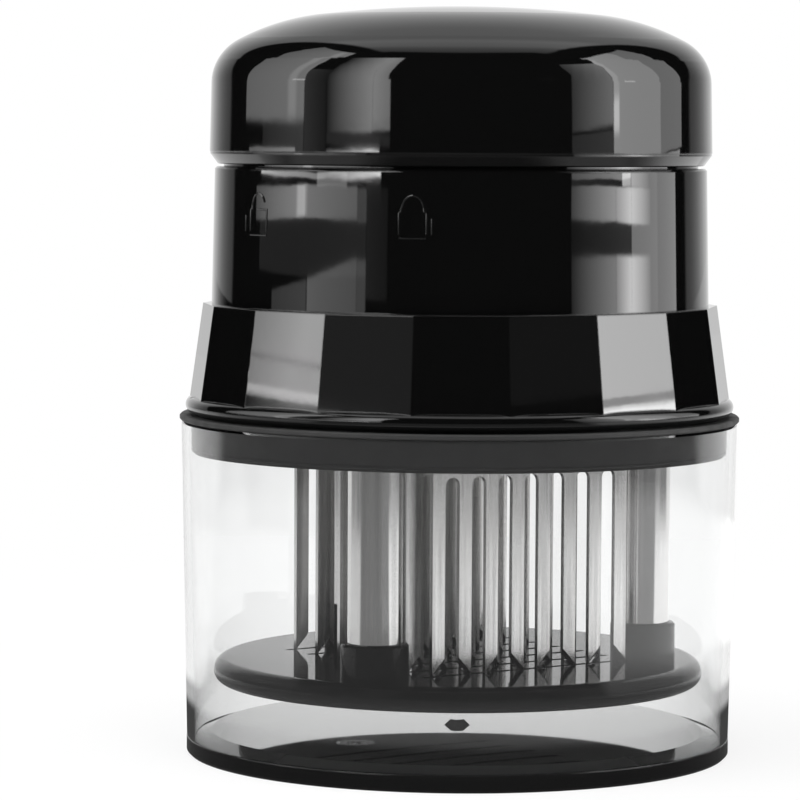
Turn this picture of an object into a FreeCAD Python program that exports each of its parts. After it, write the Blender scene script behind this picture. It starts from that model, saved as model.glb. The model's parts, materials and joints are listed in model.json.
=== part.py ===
import FreeCAD, Part
import math
import os
from types import SimpleNamespace

import Sketcher
from FreeCAD import Vector

# Round blade tenderizer that stands in its clear storage cup.
# Origin: centre of the cup's foot. +Z up. The blade rows run along X. Millimetres and degrees.
# The head (housing, collar, blades) lifts out of the cup. The guard (plate, tubes, yoke) slides up
# into the head against a spring. The knob turns on the head's tower and carries the lock ring.

SIZES = [
    # blades
    ("tooth_width", 2.75, "one blade"),
    ("slot_width", 3.15, "gap between blades"),
    ("tip_sink", 0.2, "tips below the guard plate's top"),
    ("comb_web", 3.4, "sheet between the gaps and the carrier"),
    ("bevel_height", 2.75, "slanted end of each blade"),
    ("tip_flat", 0.15, "blunt end of a blade"),
    ("grind", 0.5, "ground edge on the slanted end"),
    ("comb_thickness", 0.9, "blade sheet"),
    ("comb_pitch", 7.66, "row to row"),
    ("comb_ear", 1.2, "shoulder at each end of a comb"),
    ("comb_head_height", 5.0, "comb above its seat"),
    # guide tubes and bushes
    ("tube_radius", 5.0, "guide tube"),
    ("tube_wall", 0.9, "guide tube wall"),
    ("tube_seat", 1.7, "tube sunk into the plate"),
    ("tube_fit", 0.05, "sliding and seating clearance"),
    ("sleeve_wall", 1.15, "sleeve round the tube's foot"),
    ("sleeve_height", 6.3, "sleeve above the plate"),
    ("sleeve_edge", 0.4, "chamfer on the sleeve"),
    ("bush_wall", 1.45, "guide bush"),
    ("bush_row_gap", 0.93, "bush from the end of a comb"),
    ("bush_flange_width", 1.0, "flange on the carrier"),
    ("bush_flange_height", 1.5, "flange thickness"),
    ("bush_shelf_gap", 1.3, "flange from the collar's shelf"),
    ("bush_rise", 0.3, "bush above the clamp screws"),
    # collar between cup and housing
    ("lip_height", 62.95, "underside of the collar's lip"),
    ("lip_thickness", 1.0, "collar lip, thickness"),
    ("lip_overhang", 0.35, "lip beyond the cup's rim"),
    ("lip_edge", 0.25, "chamfers on the lip"),
    ("plug_gap", 0.55, "collar inside the cup's rim"),
    ("plug_depth", 6.0, "plug below the lip"),
    ("plug_edge", 0.5, "chamfer of the plug's foot"),
    ("plug_groove_width", 0.4, "shadow groove round the plug"),
    ("plug_groove_depth", 0.3, "groove depth"),
    ("plug_groove_rise", 0.9, "groove above the plug's foot"),
    ("collar_wall", 3.3, "plug, wall round the carrier"),
    ("shelf_width", 3.0, "shelf over the carrier's edge"),
    ("shelf_drop", 1.1, "shelf below the lip's underside"),
    # cup
    ("cup_wall", 1.4, "clear wall, thickness"),
    ("cup_wall_step", 0.05, "clear wall set back from the band"),
    ("cup_rim_edge", 0.35, "chamfers on the rim"),
    ("cup_rim_gap", 0.15, "rim below the collar's lip"),
    ("cup_flare", 1.1, "rim wider than the base"),
    ("cup_base_height", 3.2, "height of the black band"),
    ("cup_base_edge", 0.5, "chamfer under the band"),
    ("cup_border_width", 3.4, "sloping border of the floor"),
    ("cup_border_rise", 1.2, "border, height"),
    ("cup_crown_rise", 0.4, "floor, middle above the border"),
    ("cup_foot_width", 5.5, "width of the ring it stands on"),
    ("cup_foot_lift", 1.2, "hollow inside that ring"),
    ("cup_nub_radius", 2.5, "gate nub in the floor"),
    ("cup_nub_height", 1.1, "gate nub, height"),
    # carrier and clamp
    ("carrier_thickness", 4.0, "blade carrier"),
    ("carrier_fit", 0.3, "carrier in the collar"),
    ("carrier_slot_fit", 0.15, "comb in its slot, each side"),
    ("clamp_thickness", 2.5, "blade clamp"),
    ("clamp_bush_gap", 0.55, "clamp's side from the bushes"),
    ("clamp_margin", 8.0, "clamp beyond the outer rows"),
    ("clamp_notch_gap", 0.7, "notch round the middle bush"),
    ("clamp_screw_side", 14.0, "clamp screw, along the rows"),
    ("clamp_screw_margin", 4.6, "clamp screw beyond the outer rows"),
    ("clamp_post_radius", 3.4, "post under the clamp"),
    # guard
    ("plate_lift", 8.65, "guard plate above the cup's floor"),
    ("plate_thickness", 4.7, "guard plate"),
    ("plate_gap", 3.6, "guard plate from the cup's wall"),
    ("plate_slot_end", 2.0, "plate slot beyond a comb's blades"),
    ("plate_slot_fit", 0.3, "comb in the plate, each side"),
    ("yoke_gap", 0.2, "yoke above the bushes"),
    ("yoke_thickness", 3.5, "yoke"),
    ("yoke_hub_wall", 2.1, "yoke round the spring's seat"),
    ("yoke_arm", 10.0, "yoke arm width"),
    ("yoke_eye_wall", 1.5, "yoke eye beyond the tube"),
    ("guard_travel", 28.0, "stroke of the guard"),
    ("stop_gap", 1.7, "yoke below the lock ring after its stroke"),
    # housing
    ("bead_gap", 0.3, "shadow gap between lip and bead"),
    ("bead_setback", 1.1, "flange bead inside the lip"),
    ("bead_height", 3.1, "flange bead, height"),
    ("skirt_rise", 2.9, "faceted skirt starts above the collar"),
    ("skirt_height", 17.9, "faceted skirt, height"),
    ("skirt_setback", 0.7, "facet corners inside the bead"),
    ("skirt_lean", 2.5, "facet corners, lower to upper end"),
    ("facet_turn", 5.3, "angle of the first facet corner"),
    ("ledge_width", 1.65, "facet corners to barrel"),
    ("barrel_lean", 0.55, "barrel, lower to upper end"),
    ("barrel_edge", 0.4, "chamfer of the barrel's top edge"),
    ("house_wall", 2.2, "housing wall"),
    ("deck_thickness", 2.5, "deck under the knob"),
    ("spigot_setback", 1.63, "ring on the deck inside the barrel"),
    ("spigot_height", 3.1, "ring above the deck"),
    ("tower_bore_gap", 1.3, "tower round the spring"),
    ("tower_wall", 2.2, "tower wall and ceiling"),
    ("tower_height", 19.3, "tower above the deck"),
    ("pillar_radius", 3.2, "screw pillar"),
    ("pillar_gap", 0.5, "pillar from the collar's shelf"),
    ("rib_thickness", 2.0, "rib from pillar to wall"),
    # spring
    ("spring_radius", 9.2, "spring, to the wire's centre"),
    ("wire_radius", 0.8, "spring wire"),
    ("spring_seat_depth", 1.0, "seat in the yoke"),
    ("spring_seat_fit", 0.4, "seat round the spring"),
    ("spring_play", 0.1, "play at the spring's ends"),
    # knob
    ("knob_gap", 0.5, "knob's rim above the deck"),
    ("knob_clear", 0.2, "knob's wall round the deck's ring"),
    ("knob_wall", 2.4, "knob wall thickness"),
    ("knob_height", 29.6, "knob, rim to crown"),
    ("knob_taper_width", 1.4, "taper under the knob's rim line"),
    ("knob_taper_height", 1.9, "taper, height"),
    ("knob_line", 0.35, "height of the rim line above the taper"),
    ("knob_crease", 0.1, "wall beyond the rim line"),
    ("cheek_inset", 0.29, "top of the straight wall, inside its foot"),
    ("cheek_drop", 14.27, "below the crown"),
    ("shoulder_inset", 1.34, "outer end of the shoulder"),
    ("shoulder_drop", 10.35, "below the crown"),
    ("brow_inset", 5.27, "inner end of the shoulder"),
    ("brow_drop", 6.4, "below the crown"),
    ("crown_radius", 28.0, "edge of the flat crown"),
    ("crown_drop", 1.75, "below the crown's middle"),
    ("hub_wall", 2.45, "sleeve of the knob on the tower"),
    ("hub_fit", 0.05, "running clearance on the tower"),
    ("hub_gap", 0.2, "sleeve above the deck"),
    ("peg_ring_radius", 26.0, "circle of the knob's pegs"),
    ("peg_radius", 4.0, "peg through the deck"),
    ("peg_fit", 0.35, "clearance of the peg in its slot"),
    ("slot_spare", 1.5, "slot beyond the peg's sweep, each end"),
    ("peg_turn", 82.5, "peg from the yoke's arm"),
    ("knob_turn", 45.0, "turn from locked to open"),
    # lock ring
    ("ring_gap", 0.3, "lock ring below the deck"),
    ("ring_thickness", 3.2, "lock ring"),
    ("ring_inset", 6.0, "lock ring, inside the pegs' circle"),
    ("ring_outset", 7.0, "lock ring, outside the pegs' circle"),
    ("finger_depth", 6.0, "lock finger, inwards"),
    ("finger_half", 6.0, "half of a finger's angle"),
    ("finger_turn", 18.5, "finger from the yoke's arm"),
    ("finger_gap", 1.5, "finger above the yoke's level at rest"),
    ("finger_clear", 0.5, "finger above the pillars"),
    # screws
    ("screw_radius", 1.4, "small screw, shank"),
    ("screw_fit", 0.05, "shank in its hole"),
    ("screw_bite", 9.0, "thread in a pillar or peg"),
    ("hole_spare", 1.0, "hole beyond the screw's end"),
    ("screw_head_radius", 2.8, "small screw, head"),
    ("screw_head_height", 1.5, "small screw, head"),
    ("tie_radius", 1.9, "tie screw, shank"),
    ("tie_head_radius", 3.9, "tie screw, head"),
    ("recess_width", 0.8, "cross recess, width"),
    ("recess_depth", 0.9, "cross recess, depth"),
]

ARMS = (210.0, 330.0, 90.0)
PILLARS = (30.0, 150.0, 270.0)
FACETS = 18
ROWS = 7
TEETH = 8
SPRING_TURNS = 6
TUBE_SPREAD = 30.0
CHEEK_SLOPE = 88.0
SHOULDER_SLOPE = 62.0
BROW_SLOPE = 28.3
CROWN_SLOPE = 8.4
FLOOR_ARC = 1.0
NEAR_HALF_TURN = 160.0
TINY = 1e-9
SAME_PLACE = 1e-4
RECESS_REACH = 1.1
WIRE_SIDES = 6
WIRE_LENGTHS = 20
DOME = "dome"
LINE = "Part::GeomLine"

DOC = FreeCAD.newDocument("BladeTenderizer")
SHEET = DOC.addObject("Spreadsheet::Sheet", "Sizes")


class Size:
    """A length or angle that knows its value and the sheet expression it comes from."""

    def __init__(self, value, text):
        self.value = float(value)
        self.text = text

    def __float__(self):
        return self.value

    def __add__(self, other):
        other = size(other)
        return Size(self.value + other.value, f"({self.text} + {other.text})")

    def __radd__(self, other):
        return size(other) + self

    def __sub__(self, other):
        other = size(other)
        return Size(self.value - other.value, f"({self.text} - {other.text})")

    def __rsub__(self, other):
        return size(other) - self

    def __mul__(self, other):
        other = size(other)
        return Size(self.value * other.value, f"({self.text} * {other.text})")

    def __rmul__(self, other):
        return size(other) * self

    def __truediv__(self, other):
        other = size(other)
        return Size(self.value / other.value, f"({self.text} / {other.text})")

    def __neg__(self):
        return size(0) - self


def size(number):
    if isinstance(number, Size):
        return number
    return Size(number, repr(float(number)))


def sine(angle):
    angle = size(angle)
    return Size(math.sin(math.radians(angle.value)), f"sin({angle.text})")


def cosine(angle):
    angle = size(angle)
    return Size(math.cos(math.radians(angle.value)), f"cos({angle.text})")


def root(square):
    return Size(math.sqrt(square.value), f"sqrt({square.text})")


def polar(radius, angle):
    return radius * cosine(angle), radius * sine(angle)


def read_sheet():
    """Fills the sheet and returns its sizes by name."""
    named = {}
    for row, (alias, value, note) in enumerate(SIZES, start=1):
        SHEET.set(f"A{row}", note)
        SHEET.set(f"B{row}", str(value))
        SHEET.setAlias(f"B{row}", alias)
        named[alias] = Size(value, f"Sizes.{alias}")
    DOC.recompute()
    return SimpleNamespace(**named)


D = read_sheet()

# Radii, from the blades out.
COMB_HALF = (D.tooth_width * TEETH + D.slot_width * (TEETH - 1)) / 2
TOOTH_PITCH = D.tooth_width + D.slot_width
FIRST_ROW = D.comb_pitch * (-(ROWS - 1) / 2)
ROWS_SPAN = D.comb_pitch * (ROWS - 1)
BUSH_RADIUS = D.tube_radius + D.tube_fit + D.bush_wall
FLANGE_RADIUS = BUSH_RADIUS + D.bush_flange_width
BUSH_SIDE = COMB_HALF + D.comb_ear + D.bush_row_gap
TUBE_RING = (BUSH_SIDE + BUSH_RADIUS) / cosine(TUBE_SPREAD)
SHELF_BORE = TUBE_RING + FLANGE_RADIUS + D.bush_shelf_gap
COLLAR_BORE = SHELF_BORE + D.shelf_width
PLUG_RADIUS = COLLAR_BORE + D.collar_wall
RIM_RADIUS = PLUG_RADIUS + D.plug_gap + D.cup_wall
BASE_RADIUS = RIM_RADIUS - D.cup_flare
WALL_FOOT = BASE_RADIUS - D.cup_wall_step
PLATE_RADIUS = WALL_FOOT - D.cup_wall - D.plate_gap
LIP_RADIUS = RIM_RADIUS + D.lip_overhang
BEAD_RADIUS = LIP_RADIUS - D.bead_setback
SKIRT_FOOT = BEAD_RADIUS - D.skirt_setback
SKIRT_HEAD = SKIRT_FOOT - D.skirt_lean
BARREL_FOOT = SKIRT_HEAD - D.ledge_width
BARREL_HEAD = BARREL_FOOT - D.barrel_lean
SPIGOT_RADIUS = BARREL_HEAD - D.spigot_setback
KNOB_BORE = SPIGOT_RADIUS + D.knob_clear
KNOB_RADIUS = KNOB_BORE + D.knob_wall
PILLAR_RING = SHELF_BORE - D.pillar_gap - D.pillar_radius
SPRING_OUTSIDE = D.spring_radius + D.wire_radius
TOWER_RADIUS = SPRING_OUTSIDE + D.tower_bore_gap + D.tower_wall
RING_RADIUS = D.peg_ring_radius + D.ring_outset
# Levels, from the foot up.
BORDER_TOP = D.cup_base_height + D.cup_border_rise
FLOOR_TOP = BORDER_TOP + D.cup_crown_rise
PLATE_LOW = FLOOR_TOP + D.plate_lift
PLATE_TOP = PLATE_LOW + D.plate_thickness
TUBE_LOW = PLATE_TOP - D.tube_seat
BLADE_TIP = PLATE_TOP - D.tip_sink
CUP_RIM = D.lip_height - D.cup_rim_gap
PLUG_FOOT = D.lip_height - D.plug_depth
COMB_SEAT = D.lip_height - D.shelf_drop
CARRIER_LOW = COMB_SEAT - D.carrier_thickness
SLOT_TOP = CARRIER_LOW - D.comb_web
COMB_TOP = COMB_SEAT + D.comb_head_height
CLAMP_TOP = COMB_TOP + D.clamp_thickness
BUSH_TOP = CLAMP_TOP + D.screw_head_height + D.bush_rise
YOKE_LOW = BUSH_TOP + D.yoke_gap
YOKE_TOP = YOKE_LOW + D.yoke_thickness
FINGER_LOW = YOKE_TOP + D.finger_gap
PILLAR_TOP = FINGER_LOW - D.finger_clear
RING_LOW = YOKE_TOP + D.guard_travel + D.stop_gap
RING_TOP = RING_LOW + D.ring_thickness
DECK_LOW = RING_TOP + D.ring_gap
DECK_TOP = DECK_LOW + D.deck_thickness
COLLAR_TOP = D.lip_height + D.lip_thickness
SKIRT_LOW = COLLAR_TOP + D.skirt_rise
SKIRT_TOP = SKIRT_LOW + D.skirt_height
TOWER_TOP = DECK_TOP + D.tower_height
KNOB_LOW = DECK_TOP + D.knob_gap
CROWN = KNOB_LOW + D.knob_height


# ---- document helpers ----------------------------------------------------------------------------


def bind(item, name, value):
    """Gives a property its number and ties it to the sheet."""
    value = size(value)
    if "Sizes." in value.text:
        item.setExpression(name, value.text)
    else:
        setattr(item, name, value.value)


def new_body(name):
    body = DOC.addObject("PartDesign::Body", name)
    body.Label = name
    return body


def origin_item(body, role):
    return next(item for item in body.Origin.OriginFeatures if item.Role == role)


def new_sketch(body, name, plane="XY_Plane", level=None):
    """A sketch on one of the body's own planes, moved along its normal to a level."""
    sketch = body.newObject("Sketcher::SketchObject", name)
    sketch.AttachmentSupport = (origin_item(body, plane), [""])
    sketch.MapMode = "FlatFace"
    if level is not None:
        bind(sketch, "AttachmentOffset.Base.z", level)
    return sketch


def constrain(sketch, kind, parts, value):
    index = sketch.addConstraint(Sketcher.Constraint(kind, *parts, float(value)))
    if "Sizes." in value.text:
        sketch.setExpression(f"Constraints[{index}]", value.text)


def pin(sketch, item, spot, x, y):
    """Ties one point of a sketch element to the sketch's origin."""
    for kind, axis, value in (("DistanceX", -2, size(x)), ("DistanceY", -1, size(y))):
        if abs(value.value) < TINY:
            sketch.addConstraint(Sketcher.Constraint("PointOnObject", item, spot, axis))
        else:
            constrain(sketch, kind, (-1, 1, item, spot), value)


def arc_geometry(start, end, turn):
    """The arc from start to end that turns by so many degrees, to the left if positive."""
    half = math.radians(abs(turn)) / 2
    chord = end - start
    radius = chord.Length / 2 / math.sin(half)
    side = 1 if turn > 0 else -1
    across = Vector(-chord.y, chord.x, 0).normalize() * side
    centre = (start + end) / 2 + across * radius * math.cos(half)
    first, last = (start, end) if turn > 0 else (end, start)
    angles = [math.atan2(p.y - centre.y, p.x - centre.x) for p in (first, last)]
    return Part.ArcOfCircle(Part.Circle(centre, Vector(0, 0, 1), radius), *angles)


def dome_turn(start, end):
    """The turn of an arc that is centred on the sketch's vertical axis and has one end on it."""
    rise = abs(float(start[1]) - float(end[1]))
    run = abs(float(start[0]) - float(end[0]))
    to_the_left = float(start[0]) > float(end[0])
    return math.degrees(2 * math.atan2(rise, run)) * (1 if to_the_left else -1)


def draw(sketch, corners):
    """A closed outline. A corner is (x, y), or (x, y, turn) where the edge that leaves it is an arc
    that turns by so many degrees, or DOME for an arc about the vertical axis."""
    spots = [Vector(float(c[0]), float(c[1]), 0) for c in corners]
    ends = []
    for index, corner in enumerate(corners):
        start, end = spots[index], spots[(index + 1) % len(spots)]
        if len(corner) == 2:
            item = sketch.addGeometry(Part.LineSegment(start, end))
            ends.append((item, 1, 2))
            continue
        turn = dome_turn(start, end) if corner[2] is DOME else float(corner[2])
        item = sketch.addGeometry(arc_geometry(start, end, turn))
        ends.append((item, 1, 2) if turn > 0 else (item, 2, 1))
    for index, (item, begin, _) in enumerate(ends):
        before, _, finish = ends[index - 1]
        sketch.addConstraint(Sketcher.Constraint("Coincident", before, finish, item, begin))
        pin(sketch, item, begin, corners[index][0], corners[index][1])
    for index, corner in enumerate(corners):
        if len(corner) == 3:
            follower = corners[(index + 1) % len(corners)]
            fix_arc(sketch, ends[index][0], corner, follower)


def fix_arc(sketch, item, corner, follower):
    """Fixes an arc between two pinned ends: a half circle or a dome by its centre, any other by its
    radius."""
    if corner[2] is DOME:
        sketch.addConstraint(Sketcher.Constraint("PointOnObject", item, 3, -2))
        return
    run = size(follower[0]) - size(corner[0])
    rise = size(follower[1]) - size(corner[1])
    turn = size(corner[2])
    if abs(abs(turn.value) - 180.0) > TINY:
        sign = 1.0 if turn.value > 0 else -1.0
        radius = root(run * run + rise * rise) / (sine(turn * sign / 2) * 2)
        constrain(sketch, "Radius", (item,), radius)
    elif abs(rise.value) < TINY:
        constrain(sketch, "DistanceY", (-1, 1, item, 3), size(corner[1]))
    else:
        constrain(sketch, "DistanceX", (-1, 1, item, 3), size(corner[0]))


def draw_circle(sketch, x, y, radius):
    centre = Vector(float(x), float(y), 0)
    item = sketch.addGeometry(Part.Circle(centre, Vector(0, 0, 1), float(radius)))
    pin(sketch, item, 3, x, y)
    constrain(sketch, "Radius", (item,), size(radius))


def box_corners(left, right, low, high):
    return [(left, low), (right, low), (right, high), (left, high)]


def sector_corners(inner, outer, middle, half):
    """A slice of a ring, centred on an angle."""
    return [
        (*polar(inner, middle - half),),
        (*polar(outer, middle - half), half * 2),
        (*polar(outer, middle + half),),
        (*polar(inner, middle + half), half * -2),
    ]


def feature(body, kind, name, sketch, **sizes):
    """A PartDesign feature on a sketch, with its lengths tied to the sheet."""
    item = body.newObject("PartDesign::" + kind, name)
    item.Profile = sketch
    for prop, value in sizes.items():
        bind(item, prop, value)
    if kind in ("Revolution", "Groove"):
        item.ReferenceAxis = (sketch, ["V_Axis"])
        item.Angle = 360.0
    DOC.recompute()
    return item


def turn_body(name, corners):
    """A body whose first feature is a turned profile of (radius, height) corners."""
    body = new_body(name)
    sketch = new_sketch(body, name + "_profile", "XZ_Plane")
    draw(sketch, corners)
    feature(body, "Revolution", name + "_turned", sketch)
    return body


def cut(body, kind, name, sketch, **sizes):
    """A cutting feature, checked to take material away."""
    before = body.Tip.Shape.Volume
    item = feature(body, kind, name, sketch, **sizes)
    if not item.Shape.Volume < before - TINY:
        raise RuntimeError(f"{name} cuts nothing")
    return item


def around(body, originals, name, count=3):
    """Copies features round the body's Z axis."""
    item = body.newObject("PartDesign::PolarPattern", name)
    item.Originals = originals
    item.Axis = (origin_item(body, "Z_Axis"), [""])
    item.Angle = 360.0
    item.Occurrences = count
    body.Tip = item
    DOC.recompute()
    return item


def along(body, originals, name, role, span, count):
    """Copies features along one of the body's axes."""
    item = body.newObject("PartDesign::LinearPattern", name)
    item.Originals = originals
    item.Direction = (origin_item(body, role), [""])
    item.Occurrences = count
    bind(item, "Length", span)
    body.Tip = item
    DOC.recompute()
    return item


def dress(body, kind, name, amount, test):
    """A fillet or chamfer on every edge that passes the test."""
    base = body.Tip
    edges = [f"Edge{n}" for n, edge in enumerate(base.Shape.Edges, start=1) if test(edge)]
    if not edges:
        raise RuntimeError(f"{name} finds no edge")
    item = body.newObject("PartDesign::" + kind, name)
    item.Base = (base, edges)
    bind(item, "Radius" if kind == "Fillet" else "Size", amount)
    DOC.recompute()
    return item


def place(item, x=0, y=0, z=0):
    for axis, value in (("x", x), ("y", y), ("z", z)):
        value = size(value)
        if "Sizes." in value.text:
            item.setExpression(f"Placement.Base.{axis}", value.text)
        elif value.value:
            setattr(item.Placement.Base, axis, value.value)


def screw_hole(body, name, spots, radius, low, depth):
    """Straight round holes, cut upwards from a level."""
    sketch = new_sketch(body, name + "_circles", level=low)
    for x, y in spots:
        draw_circle(sketch, x, y, radius)
    hole = body.newObject("PartDesign::Pocket", name)
    hole.Profile = sketch
    hole.Reversed = True
    bind(hole, "Length", depth)
    before = hole.BaseFeature.Shape.Volume
    DOC.recompute()
    if not hole.Shape.Volume < before - TINY:
        raise RuntimeError(f"{name} cuts nothing")
    return hole


# ---- cup -----------------------------------------------------------------------------------------


def cup_base():
    foot_inner = BASE_RADIUS - D.cup_foot_width
    floor_edge = WALL_FOOT - D.cup_wall
    return turn_body("cup_base", [
        (0, D.cup_foot_lift),
        (foot_inner, D.cup_foot_lift),
        (foot_inner, 0),
        (BASE_RADIUS - D.cup_base_edge, 0),
        (BASE_RADIUS, D.cup_base_edge),
        (BASE_RADIUS, D.cup_base_height),
        (floor_edge, D.cup_base_height),
        (floor_edge - D.cup_border_width, BORDER_TOP, FLOOR_ARC),
        (D.cup_nub_radius, FLOOR_TOP),
        (D.cup_nub_radius / 2, FLOOR_TOP + D.cup_nub_height),
        (0, FLOOR_TOP + D.cup_nub_height),
    ])


def cup_wall():
    rim_inner = RIM_RADIUS - D.cup_wall
    return turn_body("cup_wall", [
        (WALL_FOOT - D.cup_wall, D.cup_base_height),
        (WALL_FOOT, D.cup_base_height),
        (RIM_RADIUS, CUP_RIM - D.cup_rim_edge),
        (RIM_RADIUS - D.cup_rim_edge, CUP_RIM),
        (rim_inner + D.cup_rim_edge, CUP_RIM),
        (rim_inner, CUP_RIM - D.cup_rim_edge),
    ])


# ---- head ----------------------------------------------------------------------------------------


def collar():
    groove_low = PLUG_FOOT + D.plug_groove_rise
    groove_high = groove_low + D.plug_groove_width
    return turn_body("collar", [
        (COLLAR_BORE, PLUG_FOOT),
        (PLUG_RADIUS - D.plug_edge, PLUG_FOOT),
        (PLUG_RADIUS, PLUG_FOOT + D.plug_edge),
        (PLUG_RADIUS, groove_low),
        (PLUG_RADIUS - D.plug_groove_depth, groove_low),
        (PLUG_RADIUS - D.plug_groove_depth, groove_high),
        (PLUG_RADIUS, groove_high),
        (PLUG_RADIUS, D.lip_height),
        (LIP_RADIUS - D.lip_edge, D.lip_height),
        (LIP_RADIUS, D.lip_height + D.lip_edge),
        (LIP_RADIUS, COLLAR_TOP - D.lip_edge),
        (LIP_RADIUS - D.lip_edge, COLLAR_TOP),
        (SHELF_BORE, COLLAR_TOP),
        (SHELF_BORE, COMB_SEAT),
        (COLLAR_BORE, COMB_SEAT),
    ])


def facet_ring(sketch, radius):
    step = 360.0 / FACETS
    draw(sketch, [polar(radius, D.facet_turn + step * n) for n in range(FACETS)])


def housing():
    body = new_body("housing")
    low_ring = new_sketch(body, "skirt_low", level=SKIRT_LOW)
    facet_ring(low_ring, SKIRT_FOOT)
    top_ring = new_sketch(body, "skirt_top", level=SKIRT_TOP)
    facet_ring(top_ring, SKIRT_HEAD)
    skirt = body.newObject("PartDesign::AdditiveLoft", "skirt")
    skirt.Profile = low_ring
    skirt.Sections = [top_ring]
    skirt.Ruled = True
    DOC.recompute()

    bead_low = COLLAR_TOP + D.bead_gap
    bead_root = BEAD_RADIUS - D.bead_height / 2
    spigot_top = DECK_TOP + D.spigot_height
    outside = new_sketch(body, "barrel_profile", "XZ_Plane")
    draw(outside, [
        (0, COLLAR_TOP),
        (bead_root, COLLAR_TOP),
        (bead_root, bead_low, 180),
        (bead_root, bead_low + D.bead_height),
        (BARREL_FOOT, SKIRT_TOP),
        (BARREL_HEAD, DECK_TOP - D.barrel_edge),
        (BARREL_HEAD - D.barrel_edge, DECK_TOP),
        (SPIGOT_RADIUS, DECK_TOP),
        (SPIGOT_RADIUS, spigot_top),
        (SPIGOT_RADIUS - D.house_wall, spigot_top),
        (SPIGOT_RADIUS - D.house_wall, DECK_TOP),
        (TOWER_RADIUS, DECK_TOP),
        (TOWER_RADIUS, TOWER_TOP),
        (0, TOWER_TOP),
    ])
    feature(body, "Revolution", "barrel", outside)

    bore = TOWER_RADIUS - D.tower_wall
    inside = new_sketch(body, "hollow_profile", "XZ_Plane")
    draw(inside, [
        (0, COLLAR_TOP),
        (SHELF_BORE + D.lip_thickness, COLLAR_TOP),
        (SKIRT_FOOT - D.house_wall * 2, SKIRT_LOW),
        (BARREL_FOOT - D.house_wall, SKIRT_TOP),
        (BARREL_HEAD - D.house_wall, DECK_LOW),
        (bore, DECK_LOW),
        (bore, TOWER_TOP - D.tower_wall),
        (0, TOWER_TOP - D.tower_wall),
    ])
    cut(body, "Groove", "hollow", inside)

    pillar_sketch = new_sketch(body, "pillar_outline", level=COMB_SEAT)
    x, y = polar(PILLAR_RING, PILLARS[0])
    draw_circle(pillar_sketch, x, y, D.pillar_radius)
    pillar = feature(body, "Pad", "pillar", pillar_sketch, Length=PILLAR_TOP - COMB_SEAT)
    rib_sketch = new_sketch(body, "rib_outline", level=COLLAR_TOP)
    rib_end = BARREL_FOOT - D.house_wall / 2
    draw(rib_sketch, rib_corners(PILLAR_RING, rib_end, PILLARS[0]))
    rib = feature(body, "Pad", "rib", rib_sketch, Length=PILLAR_TOP - COLLAR_TOP)
    around(body, [pillar, rib], "pillars")
    spots = [polar(PILLAR_RING, angle) for angle in PILLARS]
    depth = D.screw_bite + D.hole_spare
    screw_hole(body, "pillar_holes", spots, D.screw_radius + D.screw_fit, COMB_SEAT, depth)

    slot_sketch = new_sketch(body, "peg_slot_outline", level=DECK_TOP)
    draw(slot_sketch, peg_slot_corners(ARMS[2]))
    slot = cut(body, "Pocket", "peg_slot", slot_sketch, Length=D.deck_thickness)
    around(body, [slot], "peg_slots")
    return body


def rib_corners(inner, outer, angle):
    """A straight rib from one radius to another."""
    half = D.rib_thickness / 2
    side_x, side_y = polar(half, angle + 90.0)
    near_x, near_y = polar(inner, angle)
    far_x, far_y = polar(outer, angle)
    return [
        (near_x - side_x, near_y - side_y),
        (far_x - side_x, far_y - side_y),
        (far_x + side_x, far_y + side_y),
        (near_x + side_x, near_y + side_y),
    ]


def peg_slot_corners(arm):
    """The curved slot in the deck that a peg of the knob sweeps."""
    last = arm + D.peg_turn + D.slot_spare
    sweep = D.knob_turn + D.slot_spare * 2
    first = last - sweep
    half = D.peg_radius + D.peg_fit
    inner = D.peg_ring_radius - half
    outer = D.peg_ring_radius + half
    return [
        (*polar(inner, first), NEAR_HALF_TURN),
        (*polar(outer, first), sweep),
        (*polar(outer, last), NEAR_HALF_TURN),
        (*polar(inner, last), -sweep),
    ]


def blade_carrier():
    body = new_body("blade_carrier")
    disc = new_sketch(body, "carrier_outline", level=CARRIER_LOW)
    draw_circle(disc, 0, 0, COLLAR_BORE - D.carrier_fit)
    feature(body, "Pad", "carrier_disc", disc, Length=D.carrier_thickness)

    posts = new_sketch(body, "post_outline", level=COMB_SEAT)
    for x, y in clamp_spots():
        draw_circle(posts, x, y, D.clamp_post_radius)
    feature(body, "Pad", "posts", posts, Length=D.comb_head_height)

    slot_sketch = new_sketch(body, "row_slot_outline", level=COMB_SEAT)
    half_long = COMB_HALF + D.carrier_slot_fit
    half_wide = D.comb_thickness / 2 + D.carrier_slot_fit
    corners = box_corners(-half_long, half_long, FIRST_ROW - half_wide, FIRST_ROW + half_wide)
    draw(slot_sketch, corners)
    slot = cut(body, "Pocket", "row_slot", slot_sketch, Length=D.carrier_thickness)
    along(body, [slot], "row_slots", "Y_Axis", ROWS_SPAN, ROWS)

    bush_sketch = new_sketch(body, "bush_hole_outline", level=COMB_SEAT)
    draw_circle(bush_sketch, *polar(TUBE_RING, ARMS[0]), BUSH_RADIUS)
    bush_hole = cut(body, "Pocket", "bush_hole", bush_sketch, Length=D.carrier_thickness)
    around(body, [bush_hole], "bush_holes")

    pillar_spots = [polar(PILLAR_RING, angle) for angle in PILLARS]
    hole = D.screw_radius + D.screw_fit
    screw_hole(body, "pillar_holes", pillar_spots, hole, CARRIER_LOW, D.carrier_thickness)
    sink = D.screw_head_radius + D.carrier_fit
    sink_depth = D.screw_head_height + D.carrier_fit
    screw_hole(body, "pillar_sinks", pillar_spots, sink, CARRIER_LOW, sink_depth)
    screw_hole(body, "post_holes", clamp_spots(), hole, COMB_SEAT, D.comb_head_height)
    return body


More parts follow.
